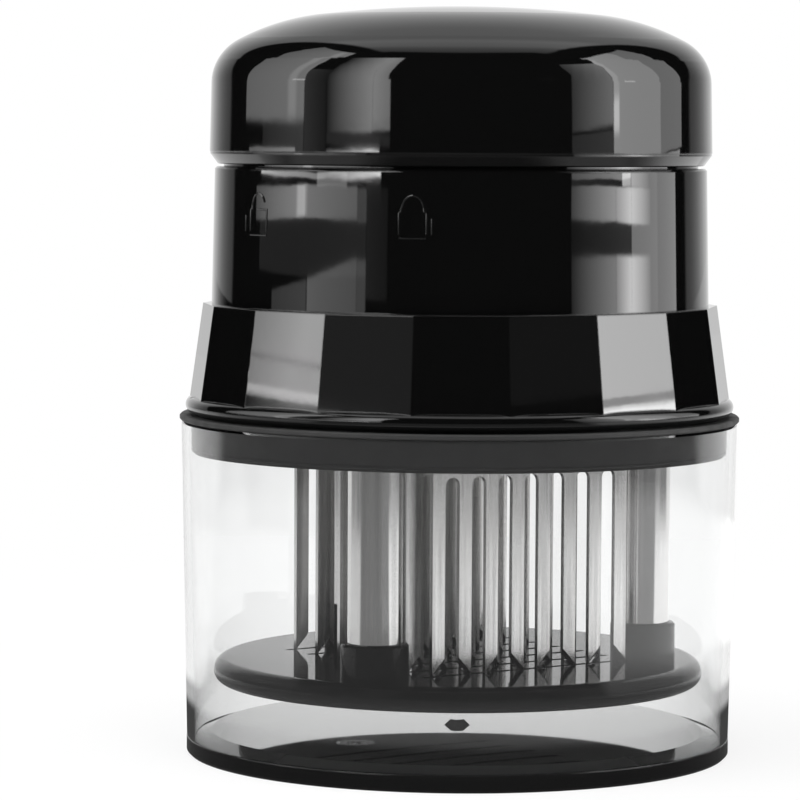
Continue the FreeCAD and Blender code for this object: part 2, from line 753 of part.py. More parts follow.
def clamp_spots():
    back = ROWS_SPAN / 2 + D.clamp_screw_margin
    return [
        (D.clamp_screw_side * x, back * y)
        for x, y in ((-1, -1), (1, -1), (1, 1), (-1, 1))
    ]


def blade_clamp():
    body = new_body("blade_clamp")
    outline = new_sketch(body, "clamp_outline", level=COMB_TOP)
    half_x = BUSH_SIDE - D.clamp_bush_gap
    half_y = ROWS_SPAN / 2 + D.clamp_margin
    draw(outline, box_corners(-half_x, half_x, -half_y, half_y))
    feature(body, "Pad", "clamp_plate", outline, Length=D.clamp_thickness)
    middle_bush = [polar(TUBE_RING, ARMS[2])]
    notch = BUSH_RADIUS + D.clamp_notch_gap
    screw_hole(body, "clamp_notch", middle_bush, notch, COMB_TOP, D.clamp_thickness)
    hole = D.screw_radius + D.screw_fit
    screw_hole(body, "clamp_holes", clamp_spots(), hole, COMB_TOP, D.clamp_thickness)
    return body


def blade_comb(row):
    """A sheet of teeth. Their slanted ends face each other in pairs, with a slant on every tooth."""
    body = new_body(f"blade_comb_{row + 1}")
    front = D.comb_thickness / 2
    half = COMB_HALF
    ear = half + D.comb_ear
    blank_sketch = new_sketch(body, f"blank_{row + 1}", "XZ_Plane", level=-front)
    draw(blank_sketch, [
        (-half, BLADE_TIP), (half, BLADE_TIP), (half, COMB_SEAT), (ear, COMB_SEAT),
        (ear, COMB_TOP), (-ear, COMB_TOP), (-ear, COMB_SEAT), (-half, COMB_SEAT),
    ])
    feature(body, "Pad", f"sheet_{row + 1}", blank_sketch, Length=D.comb_thickness)

    left = D.tooth_width - half
    right = left + D.slot_width
    arch = SLOT_TOP - D.slot_width / 2
    slot_sketch = new_sketch(body, f"gap_{row + 1}", "XZ_Plane", level=front)
    draw(slot_sketch, [
        (left, BLADE_TIP), (right, BLADE_TIP), (right, arch, 180), (left, arch),
    ])
    slot = cut(body, "Pocket", f"gap_cut_{row + 1}", slot_sketch, Length=D.comb_thickness)
    span = TOOTH_PITCH * (TEETH - 2)
    along(body, [slot], f"gaps_{row + 1}", "X_Axis", span, TEETH - 1)

    slant = D.tooth_width - D.tip_flat
    slant_top = BLADE_TIP + D.bevel_height
    slant_sketch = new_sketch(body, f"slant_{row + 1}", "XZ_Plane", level=front)
    draw(slant_sketch, [
        (left - slant, BLADE_TIP), (right + slant, BLADE_TIP),
        (right, slant_top), (left, slant_top),
    ])
    tent = cut(body, "Pocket", f"slant_cut_{row + 1}", slant_sketch, Length=D.comb_thickness)
    along(body, [tent], f"slants_{row + 1}", "X_Axis", span, TEETH // 2)

    def is_slanted(edge):
        spots = [vertex.Point for vertex in edge.Vertexes]
        if len(spots) != 2:
            return False
        run = spots[1] - spots[0]
        on_front = all(abs(p.y + float(front)) < SAME_PLACE for p in spots)
        leans = abs(run.x) > SAME_PLACE and abs(run.z) > SAME_PLACE
        return on_front and leans and edge.Curve.TypeId == LINE

    dress(body, "Chamfer", f"ground_edge_{row + 1}", D.grind, is_slanted)
    place(body, y=FIRST_ROW + D.comb_pitch * row)
    return body


def guide_bush(number, angle):
    inner = D.tube_radius + D.tube_fit
    body = turn_body(f"guide_bush_{number}", [
        (inner, CARRIER_LOW),
        (BUSH_RADIUS, CARRIER_LOW),
        (BUSH_RADIUS, COMB_SEAT),
        (FLANGE_RADIUS, COMB_SEAT),
        (FLANGE_RADIUS, COMB_SEAT + D.bush_flange_height),
        (BUSH_RADIUS, COMB_SEAT + D.bush_flange_height),
        (BUSH_RADIUS, BUSH_TOP),
        (inner, BUSH_TOP),
    ])
    place(body, *polar(TUBE_RING, angle))
    return body


def main_spring():
    """A coil of hexagonal wire in short straight lengths."""
    low = YOKE_TOP - D.spring_seat_depth + D.spring_play + D.wire_radius
    high = TOWER_TOP - D.tower_wall - D.spring_play - D.wire_radius
    lengths = SPRING_TURNS * WIRE_LENGTHS
    path = DOC.addObject("Part::Polygon", "coil_path")
    path.Nodes = [
        Vector(
            *(float(across) for across in polar(D.spring_radius, 360.0 / WIRE_LENGTHS * n)),
            float(low + (high - low) * (n / lengths)),
        )
        for n in range(lengths + 1)
    ]
    wire = DOC.addObject("Part::RegularPolygon", "wire_outline")
    wire.Polygon = WIRE_SIDES
    bind(wire, "Circumradius", D.wire_radius)
    wire.Placement.Rotation = FreeCAD.Rotation(Vector(1, 0, 0), 90)
    place(wire, x=D.spring_radius, z=low)
    DOC.recompute()
    coil = DOC.addObject("Part::Sweep", "main_spring")
    coil.Label = "main_spring"
    coil.Sections = [wire]
    coil.Spine = (path, [f"Edge{n}" for n in range(1, lengths + 1)])
    coil.Solid = True
    coil.Frenet = False
    coil.Transition = "Right corner"
    DOC.recompute()
    return coil


# ---- guard ---------------------------------------------------------------------------------------


def guard_plate():
    edge = PLATE_RADIUS - D.plate_thickness / 2
    body = turn_body("guard_plate", [
        (0, PLATE_LOW),
        (edge, PLATE_LOW, 180),
        (edge, PLATE_TOP),
        (0, PLATE_TOP),
    ])
    half_wide = D.comb_thickness / 2 + D.plate_slot_fit
    half_long = COMB_HALF + D.plate_slot_end - half_wide
    slot_sketch = new_sketch(body, "row_slot_outline", level=PLATE_TOP)
    draw(slot_sketch, [
        (-half_long, FIRST_ROW - half_wide), (half_long, FIRST_ROW - half_wide, 180),
        (half_long, FIRST_ROW + half_wide), (-half_long, FIRST_ROW + half_wide, 180),
    ])
    slot = cut(body, "Pocket", "row_slot", slot_sketch, Length=D.plate_thickness)
    along(body, [slot], "row_slots", "Y_Axis", ROWS_SPAN, ROWS)

    seat_sketch = new_sketch(body, "tube_seat_outline", level=PLATE_TOP)
    draw_circle(seat_sketch, *polar(TUBE_RING, ARMS[0]), D.tube_radius + D.tube_fit)
    seat = cut(body, "Pocket", "tube_seat", seat_sketch, Length=D.tube_seat)
    around(body, [seat], "tube_seats")

    hole_sketch = new_sketch(body, "tie_hole_centres", level=PLATE_LOW)
    for angle in ARMS:
        draw_circle(hole_sketch, *polar(TUBE_RING, angle), D.tie_radius)
    DOC.recompute()
    hole = body.newObject("PartDesign::Hole", "tie_holes")
    hole.Profile = hole_sketch
    hole.Reversed = True
    hole.DepthType = "ThroughAll"
    hole.HoleCutType = "Countersink"
    hole.HoleCutCustomValues = True
    bind(hole, "Diameter", (D.tie_radius + D.screw_fit) * 2)
    bind(hole, "HoleCutDiameter", (D.tie_head_radius + D.screw_fit) * 2)
    hole.HoleCutCountersinkAngle = 90.0
    before = hole.BaseFeature.Shape.Volume
    DOC.recompute()
    if not hole.Shape.Volume < before - TINY:
        raise RuntimeError("tie_holes cut nothing")
    return body


def guide_tube(number, angle):
    body = turn_body(f"guide_tube_{number}", [
        (D.tube_radius - D.tube_wall, TUBE_LOW),
        (D.tube_radius, TUBE_LOW),
        (D.tube_radius, YOKE_LOW),
        (D.tube_radius - D.tube_wall, YOKE_LOW),
    ])
    place(body, *polar(TUBE_RING, angle))
    return body


def tube_sleeve(number, angle):
    inner = D.tube_radius + D.tube_fit
    outer = inner + D.sleeve_wall
    top = PLATE_TOP + D.sleeve_height
    body = turn_body(f"tube_sleeve_{number}", [
        (inner, PLATE_TOP),
        (outer, PLATE_TOP),
        (outer, top - D.sleeve_edge),
        (outer - D.sleeve_edge, top),
        (inner, top),
    ])
    place(body, *polar(TUBE_RING, angle))
    return body


def yoke():
    body = new_body("yoke")
    seat_radius = SPRING_OUTSIDE + D.spring_seat_fit
    hub_radius = seat_radius + D.yoke_hub_wall
    hub_sketch = new_sketch(body, "hub_outline", level=YOKE_LOW)
    draw_circle(hub_sketch, 0, 0, hub_radius)
    feature(body, "Pad", "hub", hub_sketch, Length=D.yoke_thickness)
    arm_sketch = new_sketch(body, "arm_outline", level=YOKE_LOW)
    half = D.yoke_arm / 2
    draw(arm_sketch, [
        (-half, hub_radius / 2), (half, hub_radius / 2), (half, TUBE_RING), (-half, TUBE_RING),
    ])
    arm = feature(body, "Pad", "arm", arm_sketch, Length=D.yoke_thickness)
    eye_sketch = new_sketch(body, "eye_outline", level=YOKE_LOW)
    draw_circle(eye_sketch, 0, TUBE_RING, D.tube_radius + D.yoke_eye_wall)
    eye = feature(body, "Pad", "eye", eye_sketch, Length=D.yoke_thickness)
    around(body, [arm, eye], "arms")
    spots = [polar(TUBE_RING, angle) for angle in ARMS]
    screw_hole(body, "tie_holes", spots, D.tie_radius + D.screw_fit, YOKE_LOW, D.yoke_thickness)
    seat_sketch = new_sketch(body, "spring_seat_outline", level=YOKE_TOP)
    draw_circle(seat_sketch, 0, 0, seat_radius)
    cut(body, "Pocket", "spring_seat", seat_sketch, Length=D.spring_seat_depth)
    return body


# ---- knob ----------------------------------------------------------------------------------------


def knob_stations(inset):
    """Points on the knob's outline from cheek to crown, moved inwards, with the turn that follows."""
    stations = [
        (KNOB_RADIUS - D.cheek_inset, D.cheek_drop, CHEEK_SLOPE, CHEEK_SLOPE - SHOULDER_SLOPE),
        (KNOB_RADIUS - D.shoulder_inset, D.shoulder_drop, SHOULDER_SLOPE, SHOULDER_SLOPE - BROW_SLOPE),
        (KNOB_RADIUS - D.brow_inset, D.brow_drop, BROW_SLOPE, BROW_SLOPE - CROWN_SLOPE),
        (D.crown_radius, D.crown_drop, CROWN_SLOPE, DOME),
    ]
    return [
        (radius - inset * sine(slope), CROWN - drop - inset * cosine(slope), turn)
        for radius, drop, slope, turn in stations
    ]


def knob_cap():
    hub_inner = TOWER_RADIUS + D.hub_fit
    hub_outer = hub_inner + D.hub_wall
    hub_low = DECK_TOP + D.hub_gap
    inside = [(radius, height) for radius, height, _ in knob_stations(D.knob_wall)]
    hub_root = CROWN - D.knob_wall
    line_radius = KNOB_RADIUS - D.knob_crease
    taper_top = KNOB_LOW + D.knob_taper_height
    line_top = taper_top + D.knob_line
    outside = [
        (KNOB_BORE, KNOB_LOW),
        (line_radius - D.knob_taper_width, KNOB_LOW),
        (line_radius, taper_top),
        (line_radius, line_top),
        (KNOB_RADIUS, line_top + D.knob_crease),
        *knob_stations(size(0)),
        (0, CROWN),
        (0, hub_root),
    ]
    body = new_body("knob_cap")
    shell_sketch = new_sketch(body, "shell_profile", "XZ_Plane")
    draw(shell_sketch, outside + inside[::-1])
    feature(body, "Revolution", "shell", shell_sketch)

    hub_sketch = new_sketch(body, "hub_profile", "XZ_Plane")
    root_height = hub_root + D.knob_wall / 4
    draw(hub_sketch, box_corners(hub_inner, hub_outer, hub_low, root_height))
    feature(body, "Revolution", "hub", hub_sketch)

    peg_sketch = new_sketch(body, "peg_outline", level=RING_TOP)
    draw_circle(peg_sketch, *polar(D.peg_ring_radius, ARMS[2] + D.peg_turn), D.peg_radius)
    peg_height = CROWN - D.knob_wall - D.crown_drop / 2 - RING_TOP
    peg = feature(body, "Pad", "peg", peg_sketch, Length=peg_height)
    around(body, [peg], "pegs")
    spots = [polar(D.peg_ring_radius, angle + D.peg_turn) for angle in ARMS]
    depth = D.screw_bite + D.hole_spare
    screw_hole(body, "peg_holes", spots, D.screw_radius + D.screw_fit, RING_TOP, depth)
    return body


def lock_ring():
    body = new_body("lock_ring")
    ring_sketch = new_sketch(body, "ring_outline", level=RING_LOW)
    draw_circle(ring_sketch, 0, 0, RING_RADIUS)
    draw_circle(ring_sketch, 0, 0, D.peg_ring_radius - D.ring_inset)
    feature(body, "Pad", "ring", ring_sketch, Length=D.ring_thickness)
    finger_sketch = new_sketch(body, "finger_outline", level=FINGER_LOW)
    middle = ARMS[2] - D.finger_turn
    inner = RING_RADIUS - D.finger_depth
    draw(finger_sketch, sector_corners(inner, RING_RADIUS, middle, D.finger_half))
    finger = feature(body, "Pad", "finger", finger_sketch, Length=RING_TOP - FINGER_LOW)
    around(body, [finger], "fingers")
    spots = [polar(D.peg_ring_radius, angle + D.peg_turn) for angle in ARMS]
    hole = D.screw_radius + D.screw_fit
    screw_hole(body, "peg_holes", spots, hole, RING_LOW, D.ring_thickness)
    sink = D.screw_head_radius + D.screw_fit
    screw_hole(body, "peg_sinks", spots, sink, RING_LOW, D.screw_head_height + D.screw_fit)
    return body


# ---- screws --------------------------------------------------------------------------------------


def cylinder(name, radius, height, x, y, z):
    item = DOC.addObject("Part::Cylinder", name)
    bind(item, "Radius", radius)
    bind(item, "Height", height)
    place(item, x, y, z)
    return item


def recess_bar(name, length, width, x, y, z):
    item = DOC.addObject("Part::Box", name)
    bind(item, "Length", length)
    bind(item, "Width", width)
    bind(item, "Height", D.recess_depth)
    place(item, x - length / 2, y - width / 2, z)
    return item


def screws(name, spots, shank_radius, shank_low, shank_high, head_radius, head_low, head_high):
    """Screws in one node. The cross recess is in the outer face of the head, above or below."""
    solids = []
    for number, (x, y) in enumerate(spots, start=1):
        tag = f"{name}_{number}"
        shank = cylinder(tag + "_shank", shank_radius, shank_high - shank_low, x, y, shank_low)
        head = head_of(tag, head_radius, shank_radius, head_low, head_high, shank_low, x, y)
        whole = DOC.addObject("Part::MultiFuse", tag + "_whole")
        whole.Shapes = [shank, head]
        from_below = float(head_low) < float(shank_low) + TINY
        level = head_low if from_below else head_high - D.recess_depth
        reach = head_radius * RECESS_REACH
        bars = DOC.addObject("Part::MultiFuse", tag + "_cross")
        bars.Shapes = [
            recess_bar(tag + "_bar_x", reach, D.recess_width, x, y, level),
            recess_bar(tag + "_bar_y", D.recess_width, reach, x, y, level),
        ]
        screw = DOC.addObject("Part::Cut", tag)
        screw.Base = whole
        screw.Tool = bars
        solids.append(screw)
    group = DOC.addObject("Part::Compound", name)
    group.Label = name
    group.Links = solids
    DOC.recompute()
    return group


def head_of(tag, head_radius, shank_radius, head_low, head_high, shank_low, x, y):
    """A flat-topped head, or a countersunk one where head and shank start at one level."""
    if abs(float(head_low - shank_low)) > TINY:
        return cylinder(tag + "_head", head_radius, head_high - head_low, x, y, head_low)
    cone = DOC.addObject("Part::Cone", tag + "_head")
    bind(cone, "Radius1", head_radius)
    bind(cone, "Radius2", shank_radius)
    bind(cone, "Height", head_high - head_low)
    place(cone, x, y, head_low)
    return cone


def housing_screws():
    sink = CARRIER_LOW + D.screw_head_height + D.carrier_fit
    low = sink - D.screw_head_height
    spots = [polar(PILLAR_RING, angle) for angle in PILLARS]
    high = COMB_SEAT + D.screw_bite
    return screws("housing_screws", spots, D.screw_radius, sink, high,
                  D.screw_head_radius, low, sink)


def clamp_screws():
    high = CLAMP_TOP + D.screw_head_height
    low = COMB_SEAT + D.screw_fit
    return screws("clamp_screws", clamp_spots(), D.screw_radius, low, CLAMP_TOP,
                  D.screw_head_radius, CLAMP_TOP, high)


def tie_screws():
    spots = [polar(TUBE_RING, angle) for angle in ARMS]
    head_high = PLATE_LOW + D.tie_head_radius - D.tie_radius
    return screws("tie_screws", spots, D.tie_radius, PLATE_LOW, YOKE_TOP,
                  D.tie_head_radius, PLATE_LOW, head_high)


def knob_screws():
    spots = [polar(D.peg_ring_radius, angle + D.peg_turn) for angle in ARMS]
    seat = RING_LOW + D.screw_head_height + D.screw_fit
    low = seat - D.screw_head_height
    high = RING_TOP + D.screw_bite
    return screws("knob_screws", spots, D.screw_radius, seat, high,
                  D.screw_head_radius, low, seat)


# ---- whole object --------------------------------------------------------------------------------


def build():
    nodes = [cup_base(), cup_wall(), collar(), housing(), blade_carrier(), blade_clamp()]
    nodes += [blade_comb(row) for row in range(ROWS)]
    for number, angle in enumerate(ARMS, start=1):
        nodes += [guide_bush(number, angle), guide_tube(number, angle), tube_sleeve(number, angle)]
    nodes += [guard_plate(), yoke(), main_spring(), knob_cap(), lock_ring()]
    nodes += [housing_screws(), clamp_screws(), tie_screws(), knob_screws()]
    return nodes


def check(nodes):
    for item in DOC.Objects:
        if "Invalid" in item.State or "Error" in item.State:
            raise RuntimeError(f"{item.Label} failed: {item.State}")
    for node in nodes:
        if node.Shape.isNull() or not node.Shape.isValid() or not node.Shape.Solids:
            raise RuntimeError(f"{node.Label} has no valid shape")


def main():
    nodes = build()
    DOC.recompute()
    check(nodes)
    os.makedirs("parts", exist_ok=True)
    for node in nodes:
        node.Shape.exportStep(f"parts/{node.Label}.step")
        volume = node.Shape.Volume / 1000.0
        print(f"{node.Label}: {len(node.Shape.Solids)} solid(s), {volume:.2f} cm3")


main()
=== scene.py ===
import json
import math

import bpy
from mathutils import Matrix, Vector


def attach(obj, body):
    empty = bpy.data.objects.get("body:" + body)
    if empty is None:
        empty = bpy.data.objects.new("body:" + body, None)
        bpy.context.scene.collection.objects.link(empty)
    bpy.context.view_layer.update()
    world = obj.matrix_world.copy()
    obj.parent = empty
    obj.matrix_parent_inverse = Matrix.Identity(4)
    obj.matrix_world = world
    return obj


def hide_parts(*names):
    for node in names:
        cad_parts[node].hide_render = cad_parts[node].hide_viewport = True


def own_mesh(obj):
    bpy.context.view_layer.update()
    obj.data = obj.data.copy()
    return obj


# A blade meat tenderizer on a white table. Metres, in the frame of the CAD part: +Z up, the blade
# rows along X. A view angle is measured round Z from the line to the camera, positive to its right.

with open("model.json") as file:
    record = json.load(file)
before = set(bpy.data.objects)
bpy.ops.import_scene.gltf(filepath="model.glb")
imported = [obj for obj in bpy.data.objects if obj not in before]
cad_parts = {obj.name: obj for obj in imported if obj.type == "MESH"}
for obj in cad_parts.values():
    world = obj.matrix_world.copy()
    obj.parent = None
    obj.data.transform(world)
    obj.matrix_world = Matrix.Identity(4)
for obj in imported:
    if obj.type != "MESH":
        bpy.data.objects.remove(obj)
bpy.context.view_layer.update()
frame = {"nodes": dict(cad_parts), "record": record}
NODES = frame["nodes"]

# The camera, fitted to the curves in the photograph.
CAMERA_AZIMUTH = math.radians(-35.0)
CAMERA_DISTANCE = 0.753
CAMERA_HEIGHT = 0.11785
CAMERA_PITCH = math.radians(-3.9)
CAMERA_YAW = math.radians(0.853)
CAMERA_ROLL = math.radians(0.32)
CAMERA_LENS = 179.55
CAMERA_SENSOR = 36.0
CAMERA_CLIP = (0.01, 20.0)

TO_CAMERA = Vector((math.sin(CAMERA_AZIMUTH), -math.cos(CAMERA_AZIMUTH), 0.0))
TO_RIGHT = Vector((math.cos(CAMERA_AZIMUTH), math.sin(CAMERA_AZIMUTH), 0.0))
UP = Vector((0.0, 0.0, 1.0))

MILLI = 0.001


# ---- node helpers --------------------------------------------------------------------------------


class Nodes:
    """A short way to write a node tree."""

    def __init__(self, tree):
        self.tree = tree
        tree.nodes.clear()

    def add(self, kind, **settings):
        node = self.tree.nodes.new("ShaderNode" + kind)
        for name, value in settings.items():
            setattr(node, name, value)
        return node

    def link(self, source, target):
        self.tree.links.new(source, target)

    def feed(self, socket, value):
        if isinstance(value, bpy.types.NodeSocket):
            self.link(value, socket)
        else:
            socket.default_value = value

    def math(self, operation, *values, clamp=False):
        node = self.add("Math", operation=operation, use_clamp=clamp)
        for socket, value in zip(node.inputs, values):
            self.feed(socket, value)
        return node.outputs[0]

    def dot(self, vector, direction):
        node = self.add("VectorMath", operation="DOT_PRODUCT")
        self.link(vector, node.inputs[0])
        node.inputs[1].default_value = direction
        return node.outputs["Value"]

    def length(self, vector):
        node = self.add("VectorMath", operation="LENGTH")
        self.link(vector, node.inputs[0])
        return node.outputs["Value"]

    def ramp(self, value, low, high, to_low=0.0, to_high=1.0, smooth=True):
        """Goes from to_low to to_high while the value goes from low to high."""
        kind = "SMOOTHSTEP" if smooth else "LINEAR"
        node = self.add("MapRange", interpolation_type=kind, clamp=True)
        for socket, number in zip(node.inputs, (value, low, high, to_low, to_high)):
            self.feed(socket, number)
        return node.outputs[0]

    def turn_ramp(self, angle, low, high, to_low=0.0, to_high=1.0):
        """A ramp over an angle, with its ends in degrees."""
        return self.ramp(angle, math.radians(low), math.radians(high), to_low, to_high)

    def mix(self, factor, low, high, kind="FLOAT"):
        node = self.add("Mix", data_type=kind)
        for name, value in (("Factor", factor), ("A", low), ("B", high)):
            self.feed(node.inputs[name], value)
        return node.outputs["Result"]

    def noise(self, vector, scale, detail=2.0, roughness=0.5):
        node = self.add("TexNoise")
        self.link(vector, node.inputs["Vector"])
        node.inputs["Scale"].default_value = scale
        node.inputs["Detail"].default_value = detail
        node.inputs["Roughness"].default_value = roughness
        return node.outputs["Fac"]

    def scaled(self, vector, scale):
        node = self.add("Mapping")
        self.link(vector, node.inputs["Vector"])
        node.inputs["Scale"].default_value = scale
        return node.outputs[0]

    def bump(self, height, strength, distance, normal=None):
        node = self.add("Bump")
        self.link(height, node.inputs["Height"])
        node.inputs["Strength"].default_value = strength
        node.inputs["Distance"].default_value = distance
        if normal is not None:
            self.link(normal, node.inputs["Normal"])
        return node.outputs[0]

    def rounded_edges(self):
        node = self.add("Bevel", samples=4)
        node.inputs["Radius"].default_value = EDGE_RADIUS
        return node.outputs[0]

    def position(self):
        return self.add("TexCoord").outputs["Object"]

    def facing(self, direction):
        """1 where the surface looks that way, -1 where it looks the other way."""
        return self.dot(self.add("NewGeometry").outputs["Normal"], direction)

    def bounced(self, kind):
        """1 for a ray that has met a surface of this kind: Glossy, Diffuse or Transmission."""
        return self.math("GREATER_THAN", self.add("LightPath").outputs[kind + " Depth"], 0.5)


def new_material(name):
    made = bpy.data.materials.new(name)
    made.use_nodes = True
    return made, Nodes(made.node_tree)


def principled(nodes, **settings):
    shader = nodes.add("BsdfPrincipled")
    for name, value in settings.items():
        nodes.feed(shader.inputs[name.replace("_", " ")], value)
    output = nodes.add("OutputMaterial")
    nodes.link(shader.outputs[0], output.inputs["Surface"])


def grey(level, warm=0.0):
    return (level * (1 + warm), level, level * (1 - warm), 1.0)


# ---- materials -----------------------------------------------------------------------------------

EDGE_RADIUS = 0.0004
PLASTIC_IOR = 1.5
CLEAR_IOR = 1.52
COAT_ROUGHNESS = 0.03
SATIN_GRAIN = 0.00002
SCRATCH_DEPTH = 0.00001
CLEAR_WAVES = 0.00006
FACE_ON_TINT = (0.985, 0.988, 0.988, 1.0)
# The grey painted where the clear wall is seen edge on, and how fast it comes in: painted shade.
EDGE_ON_PAINTED_SHADE = (0.78, 0.785, 0.785, 1.0)
PAINTED_SHADE_POWER = 1.7

# Where the top of the cup's floor is painted paler, a painted reflection: distances from the
# middle, and the share at each.
PAINTED_REFLECTION_FLOOR = (0.01, 0.046, 0.3, 1.0)


def gloss_plastic(name, level, roughness, ripple, coat=0.0, shine=0.5, matt_below=False,
                  painted_reflection_inside=0.0, sharp=False):
    """Moulded plastic with a high polish, in a grey of this level.

    ripple is the depth of the polish's slow waves. matt_below makes the faces that look down
    rougher. painted_reflection_inside is a paler grey painted on the faces that look up, a painted
    reflection.
    The shading rounds the edges, unless they are to be sharp.
    """
    made, n = new_material(name)
    place = n.position()
    haze = n.noise(place, scale=90.0, detail=3.0)
    specks = n.noise(place, scale=1400.0)
    rough = n.math("ADD", n.ramp(haze, 0.3, 0.75, roughness * 0.75, roughness * 1.4),
                   n.math("MULTIPLY", specks, roughness * 0.25))
    if matt_below:
        rough = n.math("ADD", rough, n.ramp(n.facing(-UP), 0.6, 0.95, 0.0, 0.5))
    waves = n.bump(n.noise(place, scale=38.0, detail=1.0), strength=0.6, distance=ripple,
                   normal=None if sharp else n.rounded_edges())
    peel = n.bump(n.noise(place, scale=520.0, detail=1.0), strength=0.12,
                  distance=ripple * 0.12, normal=waves)
    colour = grey(level)
    # Painted reflection: the faces that look up turn a paler grey, more of it away from the middle.
    if painted_reflection_inside:
        across = n.length(n.scaled(place, (1.0, 1.0, 0.0)))
        upward = n.ramp(n.facing(UP), 0.8, 0.95)
        painted_reflection = n.math("MULTIPLY", upward, n.ramp(across, *PAINTED_REFLECTION_FLOOR))
        colour = n.mix(painted_reflection, colour, grey(painted_reflection_inside), "RGBA")
    principled(n, Base_Color=colour, Roughness=rough, IOR=PLASTIC_IOR, Normal=peel,
               Specular_IOR_Level=shine, Coat_Weight=coat, Coat_Roughness=COAT_ROUGHNESS)
    return made


def satin_plastic(name, level, roughness, shine=0.5):
    """Moulded plastic with a fine spark-eroded grain."""
    made, n = new_material(name)
    place = n.position()
    cloud = n.noise(place, scale=60.0, detail=3.0)
    colour = n.mix(cloud, grey(level * 0.88), grey(level * 1.12), "RGBA")
    rough = n.ramp(n.noise(place, scale=300.0), 0.3, 0.7, roughness * 0.85, roughness * 1.15)
    skin = n.bump(n.noise(place, scale=3200.0), strength=0.25, distance=SATIN_GRAIN)
    principled(n, Base_Color=colour, Roughness=rough, IOR=PLASTIC_IOR, Normal=skin,
               Specular_IOR_Level=shine)
    return made


def steel(name, level, roughness, scale, drawn=0.5, stain=0.0):
    """Steel with fine lines. A small number in scale draws the lines out along that axis.

    drawn is how much the roughness differs between the lines, and stain how much darker the
    cloudy patches are.
    """
    made, n = new_material(name)
    place = n.position()
    lines = n.noise(n.scaled(place, scale), scale=1.0, detail=4.0, roughness=0.6)
    cloud = n.noise(place, scale=45.0, detail=3.0)
    colour = n.mix(n.ramp(cloud, 0.3, 0.75), grey(level, 0.004), grey(level * (1 - stain), 0.012),
                   "RGBA")
    rough = n.ramp(lines, 0.25, 0.75, roughness * (1 - drawn), roughness * (1 + drawn))
    scratches = n.bump(lines, strength=0.15, distance=SCRATCH_DEPTH)
    principled(n, Base_Color=colour, Metallic=1.0, Roughness=rough, Normal=scratches)
    return made


def clear_plastic(name):
    """Clear moulded styrene with slow waves in it, painted greyer where the wall is seen edge on:
    painted shade.
    """
    made, n = new_material(name)
    place = n.position()
    tall = n.scaled(place, (1.0, 1.0, 0.35))
    waves = n.bump(n.noise(tall, scale=55.0, detail=1.0), strength=0.35, distance=CLEAR_WAVES)
    rough = n.ramp(n.noise(place, scale=160.0, detail=3.0), 0.35, 0.8, 0.0, 0.03)
    weight = n.add("LayerWeight")
    weight.inputs["Blend"].default_value = 0.5
    # Painted shade: the wall greys where it is seen edge on.
    edge_on = n.math("POWER", weight.outputs["Facing"], PAINTED_SHADE_POWER)
    principled(n, Base_Color=n.mix(edge_on, FACE_ON_TINT, EDGE_ON_PAINTED_SHADE, "RGBA"), Roughness=rough,
               IOR=CLEAR_IOR, Transmission_Weight=1.0, Normal=waves)
    return made


def all_materials():
    return {
        "shell_black": gloss_plastic("polished_black", 0.002, 0.022, 0.00004),
        "lock_black": gloss_plastic("lock_black", 0.004, 0.05, 0.00002, sharp=True),
        # The top of the cup's floor is painted a paler grey, a painted reflection.
        "cup_black": gloss_plastic("cup_base_black", 0.003, 0.035, 0.00003, coat=1.0,
                                   painted_reflection_inside=0.12),
        "guard_black": gloss_plastic("guard_black", 0.003, 0.06, 0.00002, shine=0.18,
                                     matt_below=True),
        "collar_grey": satin_plastic("collar_grey", 0.03, 0.6, shine=0.3),
        "inner_plastic": satin_plastic("inner_black", 0.03, 0.4),
        "bush_plastic": satin_plastic("bush_white", 0.7, 0.35),
        "blade_steel": steel("blade_steel", 0.72, 0.2, (1500.0, 1500.0, 30.0), 0.4, 0.06),
        "tube_steel": steel("tube_steel", 0.74, 0.13, (900.0, 900.0, 12.0), 0.5, 0.12),
        "spring_steel": steel("spring_steel", 0.5, 0.25, (300.0, 300.0, 300.0)),
        "screw_steel": steel("screw_steel", 0.6, 0.22, (700.0, 700.0, 700.0), 0.4),
        "screw_dark": steel("screw_dark", 0.06, 0.3, (700.0, 700.0, 700.0), 0.4),
        "cup_clear": clear_plastic("cup_clear"),
    }


# The cup's floor mirrors these screw heads, and no bright disc shows there in the photograph.
DARK_SCREWS = {"tie_screws": "screw_dark"}


def dress(materials):
    slots = {row["node"]: row["material_slot"] for row in frame["record"]["subparts"]}
    for name, node in NODES.items():
        node.data.materials.clear()
        node.data.materials.append(materials[DARK_SCREWS.get(name, slots[name])])


# ---- meshes --------------------------------------------------------------------------------------


def new_mesh(name, points, faces):
    mesh = bpy.data.meshes.new(name)
    mesh.from_pydata(points, [], faces)
    mesh.update()
    made = bpy.data.objects.new(name, mesh)
    bpy.context.scene.collection.objects.link(made)
    return made


# The spring: heights of its two ends, radius of the coil and of the wire.
SPRING_LOW = 0.07475
SPRING_HIGH = 0.12675
SPRING_RADIUS = 0.0092
SPRING_WIRE = 0.0008
SPRING_TURNS = 6
TURN_STEPS = 40
WIRE_SIDES = 12


